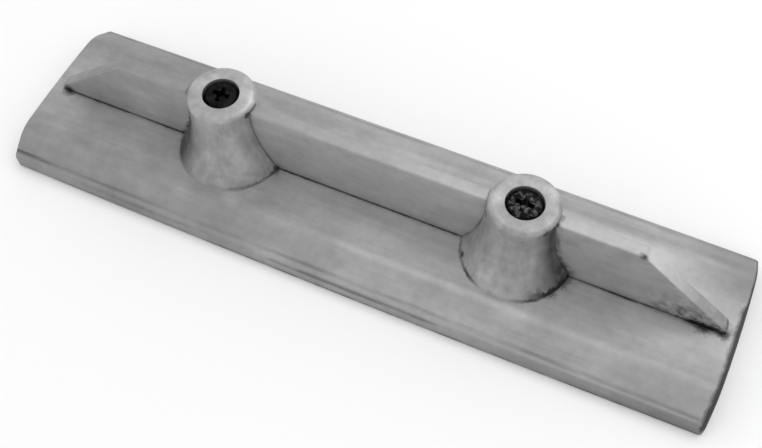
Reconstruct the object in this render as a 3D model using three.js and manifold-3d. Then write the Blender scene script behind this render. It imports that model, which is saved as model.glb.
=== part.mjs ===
// Magnesium float for finishing concrete, without its handle: a crowned blade, an upright rib in three
// lengths along the blade's centre line, and two conical posts that straddle the rib ends and take the
// handle. A pan-head screw holds each post down and runs into a steel insert in the blade.
//
// Millimetres. +X runs along the blade, +Y across it and +Z up. The origin is at the sole's centre.
import * as THREE from 'three';
import { mergeVertices } from 'three/addons/utils/BufferGeometryUtils.js';
import Module from 'manifold-3d';

// ---- Driving dimensions: blade ---------------------------------------------------------------------
const BLADE_LENGTH = 304.8;
const BLADE_WIDTH = 79.4;
const END_BOW = 1.2; // how far the middle of each end bulges past its corners
const SIDE_BOW = 1.0; // the same for each long edge
const CORNER_RADIUS = 1.5;
const CROWN_HEIGHT = 14.0; // thickness of the flat middle band
const CROWN_HALF_WIDTH = 23.0; // half the width of that band
const EDGE_HEIGHT = 6.0; // thickness at the long edges
const SHOULDER_RADIUS = 16.0; // rounding between the middle band and the outer slope

// ---- Driving dimensions: rib -----------------------------------------------------------------------
const RIB_THICKNESS = 5.4;
const RIB_TOP = 46.2; // height of the rib's top above the sole
const RIB_TOP_HALF_LENGTH = 110.0; // where the level top ends and the sloped end begins
const RIB_FOOT_HALF_LENGTH = 146.5;
const RIB_NOSE_HEIGHT = 16.5; // height above the sole where the sloped end stops
const RIB_GROOVE_DEPTH = 1.6; // how deep the rib's foot sits in the blade
const FIT_GAP = 0.3; // clearance beside the rib's foot, and all round its ends in the posts

// ---- Driving dimensions: posts ---------------------------------------------------------------------
const POST_SPACING = 127.0;
const POST_TOP = 49.0; // height of the posts' flat tops above the sole
const POST_BASE_RADIUS = 22.5;
const POST_TOP_RADIUS = 13.8;
const POST_TOP_BEVEL = 1.8;
const POST_FLARE = 2.6; // 1 is a straight cone, and more keeps it slim until close to its base
const POST_CORE_HALF = 11.0; // half the length of the solid core between its two rib slots
const COUNTERBORE_RADIUS = 7.4;
const COUNTERBORE_DEPTH = 7.0;
const SCREW_HOLE_RADIUS = 4.4;

// ---- Driving dimensions: fasteners -----------------------------------------------------------------
const SCREW_RADIUS = 3.97;
const SCREW_LENGTH = 38.1; // under the head
const HEAD_RADIUS = 7.0;
const HEAD_HEIGHT = 4.6;
const HEAD_DOME = 2.2; // height of the rounded part of the head
const RECESS_SPAN = 8.2; // tip to tip across the cross recess
const RECESS_WIDTH = 2.0;
const RECESS_DEPTH = 3.0;
const WASHER_THICKNESS = 1.9;
const WASHER_OUTER_RADIUS = 6.5;
const WASHER_INNER_RADIUS = 4.3;
const WASHER_SPLIT = 1.6;
const INSERT_RADIUS = 6.0;
const INSERT_BORE_RADIUS = 4.2;
const INSERT_HEIGHT = 8.6;
const POCKET_RADIUS = INSERT_RADIUS + FIT_GAP;
const POCKET_FLOOR = 3.4; // height above the sole of the blind pocket that holds the insert

// ---- Facets ----------------------------------------------------------------------------------------
const ROUND_SEGMENTS = 48;
const SMALL_SEGMENTS = 32;
const ARC_STEPS = 6;
const FLARE_STEPS = 9;
const OVERCUT = 2.0; // how far a cutter runs past the face that it opens

// ---- Materials -------------------------------------------------------------------------------------
const bladeMetal = new THREE.MeshStandardMaterial({ color: 0x9a9a98, roughness: 0.55, metalness: 0.9 });
const ribMetal = new THREE.MeshStandardMaterial({ color: 0x8c8c8a, roughness: 0.6, metalness: 0.9 });
const postMetal = new THREE.MeshStandardMaterial({ color: 0xa6a6a3, roughness: 0.5, metalness: 0.9 });
const blackSteel = new THREE.MeshStandardMaterial({ color: 0x141414, roughness: 0.45, metalness: 0.7 });
const springSteel = new THREE.MeshStandardMaterial({ color: 0x77797c, roughness: 0.4, metalness: 1.0 });

// ---- Solids ----------------------------------------------------------------------------------------
const wasm = await Module();
wasm.setup();

function toSolid(geometry) {
  const bare = geometry.clone();
  bare.deleteAttribute('normal');
  bare.deleteAttribute('uv');
  const merged = mergeVertices(bare, 1e-4);
  return new wasm.Manifold(new wasm.Mesh({
    numProp: 3,
    vertProperties: new Float32Array(merged.attributes.position.array),
    triVerts: new Uint32Array(merged.index.array),
  }));
}

function toMesh(name, solid, material) {
  const { vertProperties, triVerts } = solid.getMesh();
  const geometry = new THREE.BufferGeometry();
  geometry.setAttribute('position', new THREE.BufferAttribute(new Float32Array(vertProperties), 3));
  geometry.setIndex(new THREE.BufferAttribute(new Uint32Array(triVerts), 1));
  geometry.computeVertexNormals();
  const mesh = new THREE.Mesh(geometry, material);
  mesh.name = name;
  return mesh;
}

// A turned solid on the Z axis, from [radius, height] points that start and end on the axis.
function turned(profile, segments = ROUND_SEGMENTS) {
  const points = profile.map(([radius, height]) => new THREE.Vector2(radius, height));
  return toSolid(new THREE.LatheGeometry(points, segments).rotateX(Math.PI / 2));
}

function rod(radius, bottom, top, segments) {
  return turned([[0, bottom], [radius, bottom], [radius, top], [0, top]], segments);
}

function block(lengthX, widthY, bottom, top, centreX = 0) {
  const box = new THREE.BoxGeometry(lengthX, widthY, top - bottom);
  return toSolid(box.translate(centreX, 0, (bottom + top) / 2));
}

// A prism across Y, centred on the XZ plane, from [x, z] points.
function prismAcross(outline, width) {
  const shape = new THREE.Shape(outline.map(([x, z]) => new THREE.Vector2(x, z)));
  const geometry = new THREE.ExtrudeGeometry(shape, { depth: width, bevelEnabled: false });
  return toSolid(geometry.translate(0, 0, -width / 2).rotateX(Math.PI / 2));
}

// ---- Blade -----------------------------------------------------------------------------------------
// A quarter of the plan, from the middle of the +X end round the corner to the middle of the +Y side.
// The end and the side are shallow parabolas and the corner is an arc.
function planQuarter() {
  const cornerX = BLADE_LENGTH / 2 - END_BOW - CORNER_RADIUS;
  const cornerY = BLADE_WIDTH / 2 - SIDE_BOW - CORNER_RADIUS;
  const points = [];
  for (let step = 0; step < ARC_STEPS; step += 1) {
    const part = step / ARC_STEPS;
    points.push([BLADE_LENGTH / 2 - END_BOW * part ** 2, cornerY * part]);
  }
  for (let step = 0; step <= ARC_STEPS; step += 1) {
    const angle = (Math.PI / 2) * (step / ARC_STEPS);
    points.push([cornerX + CORNER_RADIUS * Math.cos(angle), cornerY + CORNER_RADIUS * Math.sin(angle)]);
  }
  for (let step = ARC_STEPS - 1; step >= 0; step -= 1) {
    const part = step / ARC_STEPS;
    points.push([cornerX * part, BLADE_WIDTH / 2 - SIDE_BOW * part ** 2]);
  }
  return points;
}

function planPrism() {
  const quarter = planQuarter();
  const outline = [
    ...quarter,
    ...quarter.map(([x, y]) => [-x, y]).reverse().slice(1),
    ...quarter.map(([x, y]) => [-x, -y]).slice(1),
    ...quarter.map(([x, y]) => [x, -y]).reverse().slice(1, -1),
  ];
  const shape = new THREE.Shape(outline.map(([x, y]) => new THREE.Vector2(x, y)));
  return toSolid(new THREE.ExtrudeGeometry(shape, { depth: CROWN_HEIGHT + OVERCUT, bevelEnabled: false }));
}

// The outer slope's angle: the line from the edge that is tangent to the shoulder's circle, whose centre
// is straight below the side of the middle band.
function slopeAngle() {
  const run = BLADE_WIDTH / 2 - CROWN_HALF_WIDTH;
  const drop = CROWN_HEIGHT - EDGE_HEIGHT;
  const reach = Math.hypot(run, SHOULDER_RADIUS - drop);
  const toEdge = Math.atan2(SHOULDER_RADIUS - drop, run);
  return Math.PI / 2 - toEdge - Math.acos(SHOULDER_RADIUS / reach);
}

function sectionPrism() {
  const angle = slopeAngle();
  const half = [[CROWN_HALF_WIDTH, CROWN_HEIGHT]];
  for (let step = 1; step <= ARC_STEPS; step += 1) {
    const turn = (angle * step) / ARC_STEPS;
    const y = CROWN_HALF_WIDTH + SHOULDER_RADIUS * Math.sin(turn);
    half.push([y, CROWN_HEIGHT - SHOULDER_RADIUS * (1 - Math.cos(turn))]);
  }
  half.push([BLADE_WIDTH / 2 + OVERCUT, EDGE_HEIGHT - OVERCUT * Math.tan(angle)]);
  half.push([BLADE_WIDTH / 2 + OVERCUT, 0]);
  const outline = [...half.map(([y, z]) => [-y, z]).reverse(), ...half];
  const shape = new THREE.Shape(outline.map(([y, z]) => new THREE.Vector2(y, z)));
  const length = BLADE_LENGTH + 2 * OVERCUT;
  const geometry = new THREE.ExtrudeGeometry(shape, { depth: length, bevelEnabled: false });
  return toSolid(geometry.translate(0, 0, -length / 2).rotateX(Math.PI / 2).rotateZ(Math.PI / 2));
}

function blade() {
  const grooveLength = 2 * (RIB_FOOT_HALF_LENGTH + FIT_GAP);
  const grooveWidth = RIB_THICKNESS + 2 * FIT_GAP;
  const top = CROWN_HEIGHT + OVERCUT;
  let solid = planPrism().intersect(sectionPrism());
  solid = solid.subtract(block(grooveLength, grooveWidth, CROWN_HEIGHT - RIB_GROOVE_DEPTH, top));
  for (const side of [-1, 1]) {
    const pocket = rod(POCKET_RADIUS, POCKET_FLOOR, top, SMALL_SEGMENTS);
    solid = solid.subtract(pocket.translate([(side * POST_SPACING) / 2, 0, 0]));
  }
  return solid;
}

// ---- Rib -------------------------------------------------------------------------------------------
const ribFoot = CROWN_HEIGHT - RIB_GROOVE_DEPTH;
const ribEndFromPost = POST_CORE_HALF + FIT_GAP; // from a post's axis to the rib end inside it

function middleRib() {
  const length = POST_SPACING - 2 * ribEndFromPost;
  return block(length, RIB_THICKNESS, ribFoot, RIB_TOP);
}

function outerRib(side) {
  const inner = POST_SPACING / 2 + ribEndFromPost;
  const outline = [
    [inner, ribFoot],
    [RIB_FOOT_HALF_LENGTH, ribFoot],
    [RIB_FOOT_HALF_LENGTH, RIB_NOSE_HEIGHT],
    [RIB_TOP_HALF_LENGTH, RIB_TOP],
    [inner, RIB_TOP],
  ];
  const solid = prismAcross(outline, RIB_THICKNESS);
  return side > 0 ? solid : solid.rotate([0, 0, 180]);
}

// ---- Posts -----------------------------------------------------------------------------------------
// The side of the cone from its base to its bevel, flared towards the base.
function coneSide() {
  const height = POST_TOP - POST_TOP_BEVEL - CROWN_HEIGHT;
  const points = [];
  for (let step = 0; step <= FLARE_STEPS; step += 1) {
    const part = step / FLARE_STEPS;
    const flare = (POST_BASE_RADIUS - POST_TOP_RADIUS) * (1 - part) ** POST_FLARE;
    points.push([POST_TOP_RADIUS + flare, CROWN_HEIGHT + height * part]);
  }
  return points;
}

function post() {
  const shoulder = POST_TOP - COUNTERBORE_DEPTH;
  let solid = turned([
    [0, CROWN_HEIGHT],
    ...coneSide(),
    [POST_TOP_RADIUS - POST_TOP_BEVEL, POST_TOP],
    [0, POST_TOP],
  ]);
  solid = solid.subtract(rod(SCREW_HOLE_RADIUS, CROWN_HEIGHT - OVERCUT, POST_TOP, SMALL_SEGMENTS));
  solid = solid.subtract(rod(COUNTERBORE_RADIUS, shoulder, POST_TOP + OVERCUT, ROUND_SEGMENTS));
  const slotWidth = RIB_THICKNESS + 2 * FIT_GAP;
  const slotLength = POST_BASE_RADIUS + OVERCUT - POST_CORE_HALF;
  for (const side of [-1, 1]) {
    const centre = side * (POST_CORE_HALF + slotLength / 2);
    solid = solid.subtract(block(slotLength, slotWidth, CROWN_HEIGHT - OVERCUT, RIB_TOP + FIT_GAP, centre));
  }
  return solid;
}

// ---- Fasteners -------------------------------------------------------------------------------------
const seat = POST_TOP - COUNTERBORE_DEPTH + WASHER_THICKNESS; // the underside of the screw's head

function screw() {
  const profile = [[0, seat - SCREW_LENGTH], [SCREW_RADIUS - 1, seat - SCREW_LENGTH]];
  profile.push([SCREW_RADIUS, seat - SCREW_LENGTH + 1], [SCREW_RADIUS, seat], [HEAD_RADIUS, seat]);
  for (let step = 0; step <= ARC_STEPS; step += 1) {
    const angle = (Math.PI / 2) * (step / ARC_STEPS);
    const radius = HEAD_RADIUS - HEAD_DOME * (1 - Math.cos(angle));
    profile.push([radius, seat + HEAD_HEIGHT - HEAD_DOME + HEAD_DOME * Math.sin(angle)]);
  }
  profile.push([0, seat + HEAD_HEIGHT]);
  const head = seat + HEAD_HEIGHT;
  const arm = block(RECESS_SPAN, RECESS_WIDTH, head - RECESS_DEPTH, head + OVERCUT);
  return turned(profile).subtract(arm).subtract(arm.rotate([0, 0, 90]));
}

function washer() {
  const bottom = POST_TOP - COUNTERBORE_DEPTH;
  const top = bottom + WASHER_THICKNESS;
  const bore = rod(WASHER_INNER_RADIUS, bottom - OVERCUT, top + OVERCUT, SMALL_SEGMENTS);
  const splitCentre = (WASHER_INNER_RADIUS + WASHER_OUTER_RADIUS) / 2;
  const split = block(WASHER_INNER_RADIUS, WASHER_SPLIT, bottom - OVERCUT, top + OVERCUT, splitCentre);
  return rod(WASHER_OUTER_RADIUS, bottom, top).subtract(bore).subtract(split);
}

function insert() {
  const top = POCKET_FLOOR + INSERT_HEIGHT;
  const bore = rod(INSERT_BORE_RADIUS, POCKET_FLOOR - OVERCUT, top + OVERCUT, SMALL_SEGMENTS);
  return rod(INSERT_RADIUS, POCKET_FLOOR, top, SMALL_SEGMENTS).subtract(bore);
}

// ---- Assembly --------------------------------------------------------------------------------------
const float = new THREE.Group();
float.add(toMesh('float_blade', blade(), bladeMetal));
float.add(toMesh('rib_middle', middleRib(), ribMetal));

for (const [name, side] of [['left', -1], ['right', 1]]) {
  float.add(toMesh(`rib_${name}`, outerRib(side), ribMetal));
  const stack = new THREE.Group();
  stack.position.x = (side * POST_SPACING) / 2;
  stack.add(toMesh(`post_${name}`, post(), postMetal));
  stack.add(toMesh(`post_screw_${name}`, screw(), blackSteel));
  stack.add(toMesh(`spring_washer_${name}`, washer(), springSteel));
  stack.add(toMesh(`thread_insert_${name}`, insert(), springSteel));
  float.add(stack);
}

export default float;
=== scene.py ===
import math

import bmesh
import bpy
from mathutils import Matrix, Vector, noise


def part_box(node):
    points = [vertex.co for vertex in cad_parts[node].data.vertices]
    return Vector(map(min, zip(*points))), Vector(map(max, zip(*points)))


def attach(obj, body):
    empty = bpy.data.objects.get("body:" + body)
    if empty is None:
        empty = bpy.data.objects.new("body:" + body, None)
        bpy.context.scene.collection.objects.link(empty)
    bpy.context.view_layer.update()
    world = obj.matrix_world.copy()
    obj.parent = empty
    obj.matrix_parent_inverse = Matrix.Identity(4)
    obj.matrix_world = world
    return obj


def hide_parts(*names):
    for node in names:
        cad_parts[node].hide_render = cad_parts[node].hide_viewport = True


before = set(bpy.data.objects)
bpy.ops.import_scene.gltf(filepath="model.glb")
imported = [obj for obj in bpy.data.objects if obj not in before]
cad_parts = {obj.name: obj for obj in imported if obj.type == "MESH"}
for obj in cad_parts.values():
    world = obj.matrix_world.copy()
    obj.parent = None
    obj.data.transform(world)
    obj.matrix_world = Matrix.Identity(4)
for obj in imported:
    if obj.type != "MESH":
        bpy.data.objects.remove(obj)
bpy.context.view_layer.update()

MM = 0.001
SIDES = (("left", -1), ("right", 1))

# ---- Sizes: from the frame ----
_, blade_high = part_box("float_blade")
rib_low, rib_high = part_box("rib_middle")
outer_rib_low, outer_rib_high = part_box("rib_right")
post_low, post_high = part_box("post_right")
screw_low, screw_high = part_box("post_screw_right")
washer_low, washer_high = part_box("spring_washer_right")
insert_low, insert_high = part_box("thread_insert_right")

HALF_LENGTH = blade_high.x
HALF_WIDTH = blade_high.y
CROWN = blade_high.z
POST_X = (post_low.x + post_high.x) / 2
POST_TOP = post_high.z
POST_BASE_RADIUS = post_high.y
RIB_HALF = rib_high.y
RIB_TOP = rib_high.z
RIB_FOOT = rib_low.z
RIB_END = outer_rib_high.x
HEAD_RADIUS = screw_high.y
WASHER_RADIUS = washer_high.y
INSERT_RADIUS = insert_high.y

# ---- Sizes: details that the frame's boxes don't give ----
END_BOW = 1.2 * MM  # how far the corners of each end lie behind its middle
SIDE_BOW = 1.0 * MM  # the same for each long edge
CORNER_RADIUS = 1.5 * MM
CROWN_HALF_WIDTH = 23.0 * MM
EDGE_HEIGHT = 6.0 * MM
SHOULDER_RADIUS = 16.0 * MM
TOP_ROUND = 1.7 * MM
SOLE_ROUND = 0.8 * MM
GROOVE_GAP = 0.15 * MM
GROOVE_HALF = RIB_HALF + GROOVE_GAP
GROOVE_END = RIB_END + GROOVE_GAP
GROOVE_LIP = 0.25 * MM
GROOVE_STEP = 0.03 * MM  # how far the groove's wall leans in
BLADE_WAVE = 0.10 * MM

RIB_TOP_END = 110.0 * MM
RIB_NOSE = 16.5 * MM
RIB_ROUND = 0.7 * MM
RIB_WAVE = 0.10 * MM

POST_TOP_RADIUS = 13.8 * MM
POST_TOP_ROUND = 2.1 * MM
POST_BEVEL = 1.8 * MM
POST_FLARE = 2.6  # 1 is a straight cone, and more keeps it slim until close to its base
POST_CORE_HALF = 11.0 * MM
COUNTERBORE_RADIUS = 7.4 * MM
COUNTERBORE_DEPTH = 7.0 * MM
COUNTERBORE_LIP = 0.25 * MM
SCREW_HOLE_RADIUS = 4.4 * MM

HEAD_HEIGHT = 4.6 * MM
HEAD_DOME = 2.2 * MM
HEAD_SOFT = 0.3 * MM
SHANK_RADIUS = 3.97 * MM
PLAIN_SHANK = 6.0 * MM
THREAD_PITCH = 1.41 * MM
THREAD_DEPTH = 0.75 * MM
RECESS_SPAN = 8.2 * MM
RECESS_WIDTH = 2.0 * MM
RECESS_DEPTH = 3.0 * MM
WASHER_BORE = 4.3 * MM
WASHER_SPLIT = 1.6 * MM
WASHER_SOFT = 0.15 * MM
INSERT_BORE = 4.2 * MM
INSERT_SOFT = 0.35 * MM
INSERT_GROOVES = 5
INSERT_GROOVE_DEPTH = 0.18 * MM
POCKET_GAP = 0.3 * MM

ROUND_STEPS = 128
SMALL_STEPS = 64
OVERCUT = 1.0 * MM  # how far a cutter runs past the face that it opens


# ---- Camera, light and floor ----
CAMERA_TARGET = Vector((5.53, -2.84, 0.0)) * MM
CAMERA_AZIMUTH = math.radians(27.27)
CAMERA_ELEVATION = math.radians(58.76)
CAMERA_ROLL = math.radians(-3.09)
CAMERA_DISTANCE = 442.5 * MM
CAMERA_NEAREST = 10.0 * MM
CAMERA_LENS = 50.37  # millimetres
SENSOR_WIDTH = 36.0  # millimetres

WORLD_STRENGTH = 0.93
SOFTBOXES = (
    # name, place, target, (width, height), watts
    ("overhead", (0.22, 0.30, 0.85), (0, 0.02, 0), (0.8, 0.6), 1.6),
    ("front_fill", (-0.1, -0.8, 0.7), (0, 0, 0), (0.9, 0.6), 0.3),
)
FLOOR_HALF = 3.0
FLOOR_DROP = 0.02 * MM
FLOOR_COLOUR = (0.93, 0.93, 0.93, 1)
FLOOR_ROUGHNESS = 0.9
FLOOR_SHINE = 0.1


def add_camera():
    flat = math.cos(CAMERA_ELEVATION)
    back = Vector((
        math.sin(CAMERA_AZIMUTH) * flat,
        -math.cos(CAMERA_AZIMUTH) * flat,
        math.sin(CAMERA_ELEVATION),
    ))
    right = Vector((0, 0, 1)).cross(back).normalized()
    up = back.cross(right)
    turned_right = right * math.cos(CAMERA_ROLL) + up * math.sin(CAMERA_ROLL)
    turned_up = up * math.cos(CAMERA_ROLL) - right * math.sin(CAMERA_ROLL)
    data = bpy.data.cameras.new("camera")
    data.lens = CAMERA_LENS
    data.sensor_width = SENSOR_WIDTH
    data.clip_start = CAMERA_NEAREST
    camera = bpy.data.objects.new("camera", data)
    bpy.context.scene.collection.objects.link(camera)
    columns = Matrix((turned_right, turned_up, back)).transposed().to_4x4()
    camera.matrix_world = Matrix.Translation(CAMERA_TARGET + back * CAMERA_DISTANCE) @ columns
    bpy.context.scene.camera = camera


def add_softbox(name, place, target, size, watts):
    data = bpy.data.lights.new(name, "AREA")
    data.shape = "RECTANGLE"
    data.size, data.size_y = size
    data.energy = watts
    light = bpy.data.objects.new(name, data)
    bpy.context.scene.collection.objects.link(light)
    light.location = place
    light.rotation_euler = (Vector(target) - Vector(place)).to_track_quat("-Z", "Y").to_euler()


def add_world():
    world = bpy.data.worlds.new("studio")
    world.use_nodes = True
    background = world.node_tree.nodes["Background"]
    background.inputs["Color"].default_value = (1.0, 1.0, 1.0, 1.0)
    background.inputs["Strength"].default_value = WORLD_STRENGTH
    bpy.context.scene.world = world


def add_floor():
    mesh = bpy.data.meshes.new("floor")
    corners = [(-1, -1), (1, -1), (1, 1), (-1, 1)]
    vertices = [(x * FLOOR_HALF, y * FLOOR_HALF, -FLOOR_DROP) for x, y in corners]
    mesh.from_pydata(vertices, [], [(0, 1, 2, 3)])
    floor = bpy.data.objects.new("floor", mesh)
    bpy.context.scene.collection.objects.link(floor)
    material = bpy.data.materials.new("floor_white")
    material.use_nodes = True
    shader = material.node_tree.nodes["Principled BSDF"]
    shader.inputs["Base Color"].default_value = FLOOR_COLOUR
    shader.inputs["Roughness"].default_value = FLOOR_ROUGHNESS
    shader.inputs["Specular IOR Level"].default_value = FLOOR_SHINE
    mesh.materials.append(material)


# ---- Node helpers ----
class Paint:
    """A material under construction: short calls that add a node and return its output socket."""

    def __init__(self, name):
        self.material = bpy.data.materials.new(name)
        self.material.use_nodes = True
        self.tree = self.material.node_tree
        self.shader = self.tree.nodes["Principled BSDF"]
        self.place = self.node("ShaderNodeTexCoord").outputs["Object"]

    def node(self, kind, **settings):
        made = self.tree.nodes.new(kind)
        for key, value in settings.items():
            setattr(made, key, value)
        return made

    def feed(self, socket, value):
        if isinstance(value, bpy.types.NodeSocket):
            self.tree.links.new(value, socket)
        else:
            socket.default_value = value

    def math(self, operation, *values, clamp=False):
        made = self.node("ShaderNodeMath", operation=operation, use_clamp=clamp)
        for socket, value in zip(made.inputs, values):
            self.feed(socket, value)
        return made.outputs[0]

    def chain(self, operation, values):
        result = values[0]
        for value in values[1:]:
            result = self.math(operation, result, value)
        return result

    def plus(self, *values):
        return self.chain("ADD", values)

    def times(self, *values):
        return self.chain("MULTIPLY", values)

    def larger(self, *values):
        return self.chain("MAXIMUM", values)

    def minus(self, first, second):
        return self.math("SUBTRACT", first, second)

    def over(self, first, second):
        return self.math("DIVIDE", first, second)

    def size(self, value):
        return self.math("ABSOLUTE", value)

    def length(self, first, second):
        return self.math("SQRT", self.plus(self.times(first, first), self.times(second, second)))

    def axis(self, letter, source=None):
        made = self.node("ShaderNodeSeparateXYZ")
        self.feed(made.inputs[0], source or self.place)
        return made.outputs[letter]

    def facing_up(self):
        """The height of the surface's normal: 1 facing up, 0 upright and -1 facing down."""
        return self.axis("Z", self.node("ShaderNodeNewGeometry").outputs["Normal"])

    def stretched(self, scale):
        made = self.node("ShaderNodeMapping")
        self.feed(made.inputs["Vector"], self.place)
        made.inputs["Scale"].default_value = scale
        return made.outputs[0]

    def noise(self, scale, detail=4.0, roughness=0.55):
        """Noise from 0 to 1. `scale` is features per metre: one number, or one for each axis."""
        source = self.place
        if isinstance(scale, tuple):
            source, scale = self.stretched(scale), 1.0
        made = self.node("ShaderNodeTexNoise")
        self.feed(made.inputs["Vector"], source)
        made.inputs["Scale"].default_value = scale
        made.inputs["Detail"].default_value = detail
        made.inputs["Roughness"].default_value = roughness
        return made.outputs["Fac"]

    def spread(self, value, low, high, to_low=0.0, to_high=1.0):
        """Maps low..high to to_low..to_high and holds the ends."""
        made = self.node("ShaderNodeMapRange", clamp=True)
        for socket, number in zip(made.inputs[:5], (value, low, high, to_low, to_high)):
            self.feed(socket, number)
        return made.outputs[0]

    def stripe(self, place, centre, inner, outer, amount):
        """`amount` within `inner` of a line at `centre`, and 0 beyond `outer` from it."""
        return self.spread(self.size(self.minus(place, centre)), inner, outer, amount, 0.0)

    def mix(self, factor, first, second):
        made = self.node("ShaderNodeMix", data_type="RGBA")
        self.feed(made.inputs["Factor"], factor)
        self.feed(made.inputs[6], first)
        self.feed(made.inputs[7], second)
        return made.outputs[2]

    def grey(self, value):
        made = self.node("ShaderNodeCombineColor")
        for socket in made.inputs:
            self.feed(socket, value)
        return made.outputs[0]

    def edges(self, low, high):
        """1 on outward edges of the mesh and 0 elsewhere."""
        return self.spread(self.node("ShaderNodeNewGeometry").outputs["Pointiness"], low, high)

    def near(self, point):
        """Distance from a point of the frame."""
        made = self.node("ShaderNodeVectorMath", operation="DISTANCE")
        self.feed(made.inputs[0], self.place)
        made.inputs[1].default_value = point
        return made.outputs["Value"]

    def crevice(self, reach):
        """1 in the open and near 0 in corners within `reach` of another surface."""
        made = self.node("ShaderNodeAmbientOcclusion", samples=8)
        made.inputs["Distance"].default_value = reach
        return made.outputs["AO"]

    def bump(self, height, distance, strength, normal=None):
        made = self.node("ShaderNodeBump")
        made.inputs["Strength"].default_value = strength
        made.inputs["Distance"].default_value = distance
        self.feed(made.inputs["Height"], height)
        if normal is not None:
            self.feed(made.inputs["Normal"], normal)
        return made.outputs[0]

    def finish(self, metallic, colour, roughness, normal):
        self.shader.inputs["Metallic"].default_value = metallic
        self.feed(self.shader.inputs["Base Color"], colour)
        self.feed(self.shader.inputs["Roughness"], roughness)
        self.feed(self.shader.inputs["Normal"], normal)
        return self.material


# ---- Places on the part ----
def flared_radius(height):
    """The radius of a post's flared side at a height."""
    part = min(1.0, (height - CROWN) / (POST_TOP - POST_BEVEL - CROWN))
    return POST_TOP_RADIUS + (POST_BASE_RADIUS - POST_TOP_RADIUS) * (1 - part) ** POST_FLARE


def on_post(side, degrees, height):
    """A point on a post's flared side. The angle is 0 towards +X and 90 towards the front."""
    turn = math.radians(degrees)
    radius = flared_radius(height)
    return side * POST_X + radius * math.cos(turn), -radius * math.sin(turn), height


STAINS_AND_SHADE = (
    # place, and radius in millimetres: dark spots at joints and corners, partly grime and partly painted
    # shade where the posts meet the rib
    ((-RIB_END + 3 * MM, -RIB_HALF, CROWN), 3.2),
    ((RIB_END, -RIB_HALF, CROWN), 3.0),
    ((RIB_END - 8 * MM, -RIB_HALF, CROWN), 3.6),
    ((RIB_TOP_END, -RIB_HALF, RIB_TOP), 1.9),
    (on_post(-1, 10, CROWN), 2.3),
    # painted shadow under the left post's ring, where it meets the rib
    (on_post(-1, 15, RIB_TOP), 1.9),
    # painted shade on the right post's outer side, where it meets the rib
    (on_post(1, 15, CROWN + 2 * MM), 4.2),
    (on_post(1, 15, CROWN + 6 * MM), 4.2),
    (on_post(1, 35, CROWN + 1 * MM), 2.8),
    (on_post(1, 35, RIB_TOP), 1.8),
    (on_post(1, 20, RIB_TOP), 1.6),
    (on_post(1, 10, RIB_TOP), 1.5),
    (on_post(1, 150, CROWN + 1 * MM), 1.6),
    (on_post(1, 155, RIB_TOP - 4 * MM), 1.6),
    ((HALF_LENGTH, 0, CROWN), 2.5),
    ((HALF_LENGTH, 3 * RIB_HALF, CROWN), 2.9),
    ((HALF_LENGTH - CORNER_RADIUS, CORNER_RADIUS - HALF_WIDTH, EDGE_HEIGHT), 2.6),
    ((-HALF_LENGTH, -CROWN_HALF_WIDTH, CROWN), 1.5),
    ((-HALF_LENGTH, -(CROWN_HALF_WIDTH + HALF_WIDTH) / 2, (CROWN + EDGE_HEIGHT) / 2), 1.6),
)

PAINTED_HIGHLIGHT_SPOTS = (
    # place, inner and outer radius in millimetres, and how much lighter: painted highlights in front of the
    # posts' feet
    ((-POST_X + POST_BASE_RADIUS / 2, -CROWN_HALF_WIDTH, CROWN), 1.5, 5, 0.22),
    ((POST_X + POST_BASE_RADIUS / 3, -CROWN_HALF_WIDTH - 4 * MM, CROWN), 2, 9, 0.14),
)

RUBBED_RING = (-POST_X + POST_TOP_RADIUS - 2 * MM, 1 * MM, POST_TOP)


def by_post(paint, x, left, right):
    """One value around the left post and another around the right one."""
    return paint.spread(x, -30 * MM, 30 * MM, left, right)


def by_end(paint, x, left, right):
    """One value at the left end and another at the right end."""
    return paint.spread(x, -100 * MM, 100 * MM, left, right)


def from_post(paint):
    """How far past the nearest post's axis along X, outwards and towards +X, and how far from that axis."""
    x = paint.axis("X")
    outwards = paint.minus(paint.size(x), POST_X)
    rightwards = paint.times(outwards, paint.math("SIGN", x))
    return outwards, rightwards, paint.length(outwards, paint.axis("Y"))


def post_radius(paint, z):
    """flared_radius as nodes."""
    part = paint.math("DIVIDE", paint.minus(z, CROWN), POST_TOP - POST_BEVEL - CROWN, clamp=True)
    flare = paint.math("POWER", paint.minus(1.0, part), POST_FLARE)
    return paint.plus(POST_TOP_RADIUS, paint.times(flare, POST_BASE_RADIUS - POST_TOP_RADIUS))


def from_outline(paint, across, half, along, side_half, bow):
    """How far inside a bowed side: `across` runs towards that side, and `along` runs beside it."""
    bowed_back = paint.times(paint.math("POWER", paint.over(paint.size(along), side_half), 2.0), bow)
    return paint.minus(half, paint.plus(paint.size(across), bowed_back))


# ---- Grime, stains, painted shade and painted highlights ----
def ragged(paint, distance, width):
    """1 close to a joint and 0 beyond about `width` from it, with an uneven edge."""
    uneven = paint.spread(paint.noise(420.0, 4.0, 0.7), 0.32, 0.68, 0.35, 1.3)
    near = paint.over(paint.larger(distance, 0.0), paint.times(uneven, width))
    return paint.spread(near, 0.45, 1.1, 1.0, 0.0)


def patchy(paint, scale, low=0.35, high=0.6):
    """0 to 1 in soft patches, so that a line of grime comes and goes."""
    return paint.spread(paint.noise(scale, 3.0, 0.6), low, high)


def stains_and_shade(paint):
    """Darkening inside the listed spots, partly grime and partly painted shade, and 0 outside them, with an
    uneven edge.
    """
    nearest = 100.0
    for place, radius in STAINS_AND_SHADE:
        share = paint.over(paint.near(place), radius * MM)
        nearest = paint.math("MINIMUM", share, nearest)
    uneven = paint.spread(paint.noise(420.0, 4.0, 0.7), 0.32, 0.68, 0.6, 1.35)
    return paint.spread(paint.over(nearest, uneven), 0.4, 1.2, 0.86, 0.0)


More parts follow.
